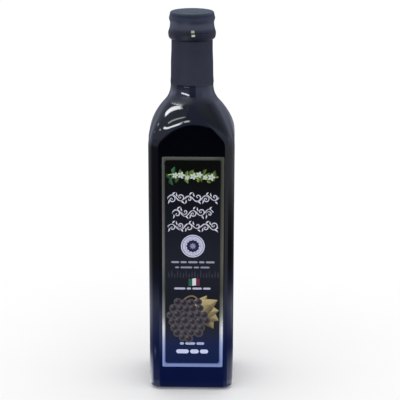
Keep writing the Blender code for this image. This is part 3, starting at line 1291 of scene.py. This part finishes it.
    def spray(self) -> None:
        """Add the green spray at the head: leaves on two crossing stems, with pale blossoms between them.

        Each stem is a wave that falls from the upper left to the lower right or rises the other way. The
        leaves turn from teal at the left to olive at the right, and their lengths swing with a sine.
        """
        u = np.linspace(-self.stem_reach, self.stem_reach, 60)
        stems = [157.6 + 1.6 * np.sin(u / 5.6 + 0.9), 157.2 - 1.7 * np.sin(u / 6.2 + 0.3)]
        for stem, colour in zip(stems, (srgb(70, 96, 50), srgb(158, 178, 112))):
            self.ribbon(np.stack([u, stem], -1), 0.38, colour)
        dark_edge = (srgb(14, 50, 34), srgb(52, 84, 24))
        light_edge = (srgb(52, 112, 78), srgb(132, 160, 74))
        for n, start in enumerate(np.linspace(-15.6, 15.4, 12)):
            share = smooth_step(start, -15, 0)
            shade = 0.72 + 0.28 * math.sin(2.1 * n)
            low, high = (tuple(blend(*pair, share) * shade) for pair in (dark_edge, light_edge))
            way = 1 if n % 2 else -1
            base = float(np.interp(start, u, stems[n % 2]))
            size = 4.6 + 1.1 * math.sin(1.7 * n + 0.6)
            right = float(np.clip(start + 2.2 * math.cos(1.3 * n), *self.leaf_limits))
            left = float(np.clip(start - 2.8 * math.cos(1.1 * n), *self.leaf_limits))
            tip = (right, base + way * size)
            self.leaf((start, base), tip, 1.45, low, high, 0.034 + 0.003 * n, 0.16 * way)
            tip = (left, base - way * 0.62 * size)
            self.leaf((start, base), tip, 1.15, high, low, 0.032 + 0.003 * n, -0.14 * way)
        for n, start in enumerate(np.linspace(-12.2, 12.4, 7)):
            centre = (start, self.blossom_height + 1.1 * math.sin(1.9 * n + 0.5))
            self.disc(centre, 1.75 + 0.35 * math.sin(2.3 * n), self.petals, 0.085, 17, 5, 0.24)

    def petals(self, x: np.ndarray, y: np.ndarray) -> np.ndarray:
        """Return a blossom's colours: pale, with a darker middle and softly darker gaps.

        Args:
            x: Unit places across it.
            y: Unit places up it.

        Returns:
            A grid of colours.
        """
        middle = np.exp(-(x**2 + y**2) / 0.07)[..., None]
        gaps = ((0.5 - 0.5 * np.cos(5 * np.arctan2(y, x))) * np.hypot(x, y))[..., None]
        return np.array(srgb(196, 204, 196)) * (1 - 0.45 * gaps) * (1 - 0.6 * middle)

    def scroll(self, left: float, right: float, low: float, high: float, waves: int, seed: float) -> None:
        """Add a row of vine scroll: a wavy stem, and a curling tendril with two small leaves in every wave.

        A tendril is a spiral whose radius shrinks evenly with the turned angle, placed alternately under
        and over the stem's crests. Its size and its number of turns swing with sines of its number.

        Args:
            left: Where the row starts.
            right: Where it ends.
            low: Its lower edge.
            high: Its upper edge.
            waves: Number of half waves.
            seed: Shifts the swings.
        """
        middle, reach = (low + high) / 2, (high - low) / 2
        step = (right - left) / waves
        u = np.linspace(left, right, 40 * waves)
        phase = (u - left) / (right - left) * waves * math.pi
        stem = middle + 0.46 * reach * np.sin(phase) + 0.12 * reach * np.sin(phase / 2.3 + seed)
        self.ribbon(np.stack([u, stem], -1), 0.12 + 0.20 * np.abs(np.cos(phase)), SILVER, 0.035)
        for n in range(waves):
            way = 1 if n % 2 == 0 else -1
            size = 0.44 + 0.09 * math.sin(2.3 * n + seed)
            turns = (2.5 + 0.6 * math.sin(1.7 * n + 2 * seed)) * math.pi
            centre = left + step * (n + 0.5)
            turn = np.linspace(0, turns, 56)
            radius = size * step * (1 - turn / turns) ** 0.85 + 0.18
            squeeze = min(1.0, 0.90 * reach / (size * step))
            angle = way * (math.pi - turn)
            curl = middle - way * 0.16 * reach + squeeze * radius * np.sin(angle)
            path = np.stack([centre + radius * np.cos(angle), curl], -1)
            self.ribbon(path, 0.11 + 0.24 * np.sin(turn / turns * math.pi) ** 2, SILVER, 0.04)
            self.disc((float(path[-1, 0]), float(path[-1, 1])), 0.36, plain(SILVER), 0.045, 7)
            root = (centre + 0.05 * step, middle + way * 0.50 * reach)
            tip = (centre + (0.40 + 0.1 * math.sin(n + seed)) * step, middle + way * 0.94 * reach)
            self.leaf(root, tip, 0.46, SILVER, PALE, 0.05)
            root = (centre - 0.34 * step, middle - way * 0.25 * reach)
            tip = (centre - 0.46 * step, middle - way * 0.90 * reach)
            self.leaf(root, tip, 0.40, SILVER, PALE, 0.05)

    def vine(self) -> None:
        """Add the three rows of vine scroll."""
        for row in self.scrolls:
            self.scroll(*row)

    def seal(self) -> None:
        """Add the round seal: a lilac ring with dark lines and a bead circle, round a rosette on navy."""
        centre = self.seal_centre
        self.disc(centre, self.seal_radius, plain(srgb(196, 196, 222)), 0.03, 25)
        self.ring(centre, 7.0, 7.4, srgb(60, 62, 92), 0.05)
        self.ring(centre, 5.05, 5.35, srgb(92, 94, 128), 0.05)
        for turn in np.linspace(0, FULL, 28, endpoint=False):
            self.disc(spot_at(centre, 6.15, turn), 0.30, plain(srgb(104, 106, 138)), 0.05, 5)
        self.disc(centre, 4.35, plain(srgb(26, 28, 62)), 0.06, 25, 12, 0.06)
        edges = (srgb(120, 124, 166), srgb(150, 152, 190))
        for turn in np.linspace(0, FULL, 8, endpoint=False):
            self.leaf(centre, spot_at(centre, 2.5, turn), 0.42, *edges, 0.08, 0.0)

    def lines(self) -> None:
        """Add the small print, each line a row of short bars of uneven length."""
        gap = 0.9
        for left, right, v, half, lengths, colour in self.print_lines:
            scale = (right - left - gap * (len(lengths) - 1)) / sum(lengths)
            start = left
            for length in lengths:
                self.bar(start, start + length * scale, v, half, colour)
                start += length * scale + gap

    def fields(self) -> None:
        """Add the three upright fields of colour, with a slight wave, and the faint row of trees behind.

        The trees' heights swing with a sine, and a field's height shifts by a sine of its place across.
        """
        for n, u in enumerate(np.linspace(-16.5, 17.5, 18)):
            tip = (u, self.trees_foot + 5.0 + 1.4 * math.sin(2.4 * n))
            tone = srgb(48, 44, 60) if n % 2 else srgb(40, 42, 54)
            self.leaf((u, self.trees_foot), tip, 0.62, tone, tone, 0.015, 0.0)
        for u, colour in ((-2.9, srgb(34, 88, 74)), (-0.3, srgb(206, 208, 214)), (2.3, srgb(104, 34, 56))):
            a = np.linspace(0, 1, 6)[:, None] * self.fields_size[0] + u
            b = np.linspace(0, 1, 6)[None, :] * self.fields_size[1] + self.fields_foot
            b = b + 0.25 * np.sin(a / 1.2)
            self.add(a + 0 * b, b, 0.04, colour)

    def picture(self) -> None:
        """Add the picture at the foot: a large bunch of dark grapes before a broad tan vine leaf.

        The leaf is a fan of lobes with a rib along each, all from one root. The grapes stand in level rows,
        and their places and sizes swing with sines of their numbers.
        """
        root = self.leaf_root
        for angle, size, width in self.lobes:
            tip = spot_at(root, size, math.radians(angle))
            shade = 1.0 - 0.45 * smooth_step(-angle, -20, 50)
            low, high = (tuple(np.array(tone) * shade) for tone in (srgb(96, 82, 54), srgb(184, 170, 122)))
            self.leaf(root, (min(tip[0], 18.3), tip[1]), width, low, high, 0.02 + 0.004 * width)
        t = np.linspace(0, 1, 14)
        for angle, size, _ in self.lobes:
            tip = spot_at(root, 0.86 * size, math.radians(angle))
            rib = blend(root, (min(tip[0], 17.8), tip[1]), t[:, None])
            self.ribbon(rib, 0.28 * (1 - 0.7 * t), srgb(92, 78, 48), 0.06)
        stem = np.stack([np.linspace(-6, 2.5, 20), 68.5 + 2.6 * np.sin(np.linspace(0, 2.6, 20))], -1)
        self.ribbon(stem, 0.55, srgb(120, 100, 74), 0.05)
        for row, (start, v, count) in enumerate(self.bunch):
            for n in range(count):
                u = start + 4.75 * n + 0.45 * math.sin(5.1 * n + 2.3 * row)
                centre = (u, v + 0.5 * math.cos(4.3 * n + row))
                size = 2.85 + 0.25 * math.sin(3.7 * n + 1.9 * row)
                self.disc(centre, size, self.grape, 0.08 + 0.004 * row + 0.001 * n, 13)

    def grape(self, x: np.ndarray, y: np.ndarray) -> np.ndarray:
        """Return a grape's colours: brown inside, a grey rim, and a soft light at the upper left.

        Args:
            x: Unit places across it.
            y: Unit places up it.

        Returns:
            A grid of colours.
        """
        rim = smooth_step(np.hypot(x, y), 0.40, 1.0)[..., None]
        light = np.exp(-((x + 0.35) ** 2 + (y - 0.4) ** 2) / 0.07)[..., None]
        return blend(srgb(38, 28, 34), srgb(96, 92, 104), 0.50 * rim + 0.80 * light)

    def build(self, groups: Groups) -> None:
        """Make the sheet, its border and its print.

        Args:
            groups: The shared node groups by name.
        """
        self.ground(groups)
        self.border(groups)
        ink = INK.make(groups, ink_colour)
        prints = {
            "leaf_spray": self.spray,
            "vine_scroll": self.vine,
            "round_seal": self.seal,
            "print_lines": self.lines,
            "colour_fields": self.fields,
            "grape_picture": self.picture,
        }
        for name, make in prints.items():
            make()
            self.finish(name, ink)


@dataclass(frozen=True)
class Panel:
    """A glowing panel of the studio that only gloss shows.

    Its two edges run through the given directions, with points between them by straight interpolation. Its
    glow falls off smoothly towards both ends and a little towards both edges. The edges give azimuth and
    elevation of one edge, then of the other, at stations along it. It hangs at the distance near at its
    start and far at its end, in metres from the point that it is seen from.
    """

    name: str
    radiance: float
    edges: tuple[tuple[float, float, float, float], ...]
    near: float = 3.0
    far: float = 3.0
    seen_from: Place = (0.0, 0.0, 0.195)

    def hang(self) -> None:
        """Make the panel."""
        stations = np.array(self.edges)
        at = np.linspace(0, len(stations) - 1, 10 * len(stations))
        table = np.stack([np.interp(at, np.arange(len(stations)), column) for column in stations.T], -1)
        across = np.linspace(0, 1, 7)[None, :]
        azimuth = np.radians(blend(table[:, 0:1], table[:, 2:3], across))
        elevation = np.radians(blend(table[:, 1:2], table[:, 3:4], across))
        along = np.linspace(0, 1, len(at))[:, None]
        way = [np.sin(azimuth) * np.cos(elevation), -np.cos(azimuth) * np.cos(elevation), np.sin(elevation)]
        points = np.stack(way, -1) * blend(self.near, self.far, along)[..., None] + np.array(self.seen_from)
        glow = np.minimum(smooth_step(along, 0, 0.08), 1 - smooth_step(along, 0.80, 1.0))
        glow = glow * (0.75 + 0.25 * np.sin(math.pi * across))
        mesh = bpy.data.meshes.new(self.name)
        mesh.from_pydata(points.reshape(-1, 3).tolist(), [], grid_faces(*points.shape[:2]).tolist())
        paint(mesh, (glow[..., None] * np.array([0.95, 0.97, 1.0])).reshape(-1, 3))
        material = bpy.data.materials.new(self.name)
        material.use_nodes = True
        w = NodeWriter(material.node_tree)
        light = w.add("ShaderNodeEmission", Color=ink_colour(w), Strength=self.radiance)
        w.fill(w.tree.nodes["Material Output"], Surface=light.outputs[0])
        mesh.materials.append(material)
        body = put_in_scene(self.name, mesh)
        body.visible_camera = False
        body.visible_diffuse = False
        body.visible_shadow = False


PANELS = (
    Panel("panel_broad", 18, (
        (-117.8, 38.3, -106.1, 45.0), (-117.2, 39.4, -104.7, 46.4), (-115.7, 41.0, -102.3, 48.2),
        (-113.0, 43.7, -98.0, 50.7), (-109.2, 46.9, -92.8, 53.3), (-102.2, 51.8, -85.0, 56.5),
        (-93.2, 57.0, -75.4, 59.6), (-79.5, 62.5, -59.0, 63.0), (-58.6, 67.3, -39.5, 65.2),
    )),
    Panel("panel_upper", 8, (
        (-69.0, 52.7, -58.2, 51.8), (-62.1, 53.9, -52.5, 52.8), (-53.8, 54.8, -45.5, 53.3),
        (-42.2, 54.7, -34.5, 52.5), (-30.8, 53.8, -26.1, 51.6), (-19.2, 52.6, -16.2, 50.3),
        (-9.2, 51.5, -7.8, 49.1),
    )),
    Panel("panel_lower", 12, (
        (-12.8, 44.0, -10.1, 40.2), (-5.8, 42.7, -4.4, 39.4), (-2.0, 42.3, -1.8, 39.3),
    )),
    Panel("panel_neck", 20, (
        (-62, 7, -62, 12), (-32, 12.5, -32, 18.6), (-6, 19, -6, 25.6),
    ), near=0.040, far=0.062, seen_from=(-0.005, -0.015, 0.211)),
    Panel("panel_side_a", 5, ((-116.5, 32.9, -118.8, 33.3), (-110.1, 37.0, -112.6, 37.5))),
    Panel("panel_side_b", 6, ((-86.6, 44.1, -79.5, 46.7), (-73.2, 44.7, -63.2, 46.3))),
    Panel("panel_foot", 1.3, (
        (-72, -22.62, -72, -22.22), (-49, -22.62, -49, -22.22),
    ), seen_from=(0.0, 0.0, 0.035)),
    Panel("panel_side_c", 2, ((-115.9, 26.4, -108.0, 32.3), (-107.5, 29.6, -97.1, 35.7))),
)


@dataclass
class Studio:
    """Floor, world, glowing panels and camera.

    The room that gloss shows is cut into sectors of azimuth, each with stops of elevation and brightness.
    Azimuth is 0 towards the camera and positive to the right, and both angles are in degrees.
    """

    camera_place: Place = (0.0196, -0.9349, 0.4089)
    aim: Place = (0.0, 0.0, 0.1319)
    lens: float = 124.86
    sensor: float = 36
    shift: float = 0.0198
    floor_reach: float = 8.0
    lowest: float = -50
    highest: float = 90
    ceiling: Colour = (0.36, 0.39, 0.48)

    def floor(self) -> None:
        """Make the pale floor."""
        mesh = bpy.data.meshes.new("floor")
        reach = self.floor_reach
        corners = [(-reach, -reach, 0), (reach, -reach, 0), (reach, reach, 0), (-reach, reach, 0)]
        mesh.from_pydata(corners, [], [(0, 1, 2, 3)])
        material = bpy.data.materials.new("pale_floor")
        material.use_nodes = True
        w = NodeWriter(material.node_tree)
        tone = drifting_colour((0.930, 0.930, 0.934), (0.945, 0.945, 0.948), 3)(w)
        w.fill(w.tree.nodes["Principled BSDF"], Base_Color=tone, Roughness=0.9, Specular_IOR_Level=0.0)
        mesh.materials.append(material)
        floor = put_in_scene("floor", mesh)
        floor.visible_glossy = False

    def room(self, w: NodeWriter) -> Socket:
        """Return the colour of the room that gloss shows.

        A direction's azimuth chooses the sector, with a soft change from one to the next, and its elevation
        is read from the sector's stops. Low directions are tinted neutral and the others blue.

        Args:
            w: Writer of the world's nodes.

        Returns:
            The colour.
        """
        behind = [(-34, 0.7), (-26, 2.0), (-23.3, 1.0), (-22.7, 0.16), (-15, 0.26), (0, 0.30),
                  (14, 0.60), (28, 1.0), (60, 0.75)]
        left_far = [(-34, 0.7), (-26, 3.8), (-23.8, 3.4), (-23.3, 2.4), (-23.0, 0.40), (-22, 0.28),
                    (-21.1, 1.2), (-19.8, 0.50), (-17, 0.28), (-9, 0.50), (6, 1.25), (18, 0.85),
                    (28, 0.60), (41, 0.50), (60, 0.65)]
        left_near = [(-26, 0.8), (-23, 0.10), (-21.9, 0.12), (-21.1, 0.70), (-20.1, 0.14), (-18, 0.11),
                     (-8, 0.14), (1, 0.50), (12, 0.50), (28, 0.68), (45, 0.62), (66, 0.52)]
        front = [(-30, 0.1), (-23.2, 0.03), (-22.4, 0.14), (-21.9, 1.0), (-21.4, 0.95), (-20.9, 0.10),
                 (-19, 0.10), (-16.5, 0.05), (-14, 0.014), (90, 0.014)]
        right_near = [(-26, 0.4), (-23, 0.06), (-22, 0.09), (-21.1, 0.65), (-19.8, 0.52), (-10, 0.64),
                      (28, 0.62), (42, 0.76), (52, 0.36), (66, 0.46)]
        right_far = [(-34, 0.7), (-26, 2.0), (-23.6, 1.4), (-23.0, 0.5), (-22.6, 0.12), (-22, 0.12),
                     (-21.1, 0.95), (-20.2, 0.16), (-18.4, 0.07), (-17.2, 0.18), (-15.5, 0.6),
                     (-2, 0.78), (14, 1.0), (28, 1.0), (38, 0.60), (52, 0.34), (66, 0.50)]
        direction = w.add("ShaderNodeTexCoord").outputs["Generated"]
        x, y, z = w.add("ShaderNodeSeparateXYZ", Vector=direction).outputs
        azimuth = w.math("MULTIPLY", w.math("ARCTAN2", x, w.math("MULTIPLY", y, -1.0)), 180 / math.pi)
        elevation = w.math("MULTIPLY", w.math("ARCSINE", z), 180 / math.pi)
        scaled = w.add("ShaderNodeMapRange", Value=elevation, From_Min=self.lowest, From_Max=self.highest)

        def zone(stops: Stops) -> Socket:
            """Return a sector's brightness.

            Args:
                stops: Its stops of elevation and brightness.

            Returns:
                The brightness at the direction's elevation.
            """
            span = self.highest - self.lowest
            greys = [((height - self.lowest) / span, (bright,) * 3) for height, bright in stops]
            return w.ramp(scaled.outputs["Result"], greys)

        above = w.ranged(w.math("MULTIPLY_ADD", azimuth, -0.35, elevation), 33, 36)
        sectors = [
            (-142, 8, zone(left_far)),
            (-90, 6, zone(left_near)),
            (-15, 4, w.mix(above, zone(front), self.ceiling)),
            (21, 4, zone(right_near)),
            (56, 6, zone(right_far)),
            (132, 8, zone(behind)),
        ]
        gloss = zone(behind)
        for edge, blur, bright in sectors:
            gloss = w.mix(w.ranged(azimuth, edge - blur, edge + blur), gloss, bright)
        tint = w.mix(w.ranged(elevation, -14, 4), (0.98, 1.0, 1.08), (0.90, 0.98, 1.30))
        return w.mix(1.0, gloss, tint, "MULTIPLY")

    def world(self) -> None:
        """Make the world: white to the camera and for soft light, and the room in gloss."""
        world = bpy.data.worlds.new("studio")
        bpy.context.scene.world = world
        world.use_nodes = True
        w = NodeWriter(world.node_tree)
        path = w.add("ShaderNodeLightPath")
        soft = w.mix(path.outputs["Is Glossy Ray"], (1.09, 1.09, 1.09), self.room(w))
        seen = w.mix(path.outputs["Is Camera Ray"], soft, (1.0, 1.0, 1.0))
        w.fill(w.tree.nodes["Background"], Color=seen)
        world.cycles.sampling_method = "NONE"

    def camera(self) -> None:
        """Set the camera where the photograph was taken from."""
        data = bpy.data.cameras.new("camera")
        data.lens = self.lens
        data.sensor_width = self.sensor
        data.shift_x = self.shift
        data.clip_end = 50
        camera = put_in_scene("camera", data)
        camera.location = self.camera_place
        view = Vector(self.aim) - Vector(self.camera_place)
        camera.rotation_euler = view.to_track_quat("-Z", "Y").to_euler()
        bpy.context.scene.camera = camera

    def build(self) -> None:
        """Set up the stage."""
        self.floor()
        self.world()
        for panel in PANELS:
            panel.hang()
        self.camera()
        settings = bpy.context.scene.view_settings
        settings.view_transform = "Standard"
        settings.look = "None"


def main() -> None:
    """Build the bottle from its glass outwards, then the stage."""
    logging.basicConfig(level=logging.INFO, format="%(name)s %(message)s")
    groups = {"marks": handling_group(), "relief": relief_group()}
    for part in (GlassBottle(), ScrewCap(), NeckSleeve(), FrontLabel()):
        part.build(groups)
        log.info("%s done", type(part).__name__)
    Studio().build()


if __name__ == "__main__":
    main()
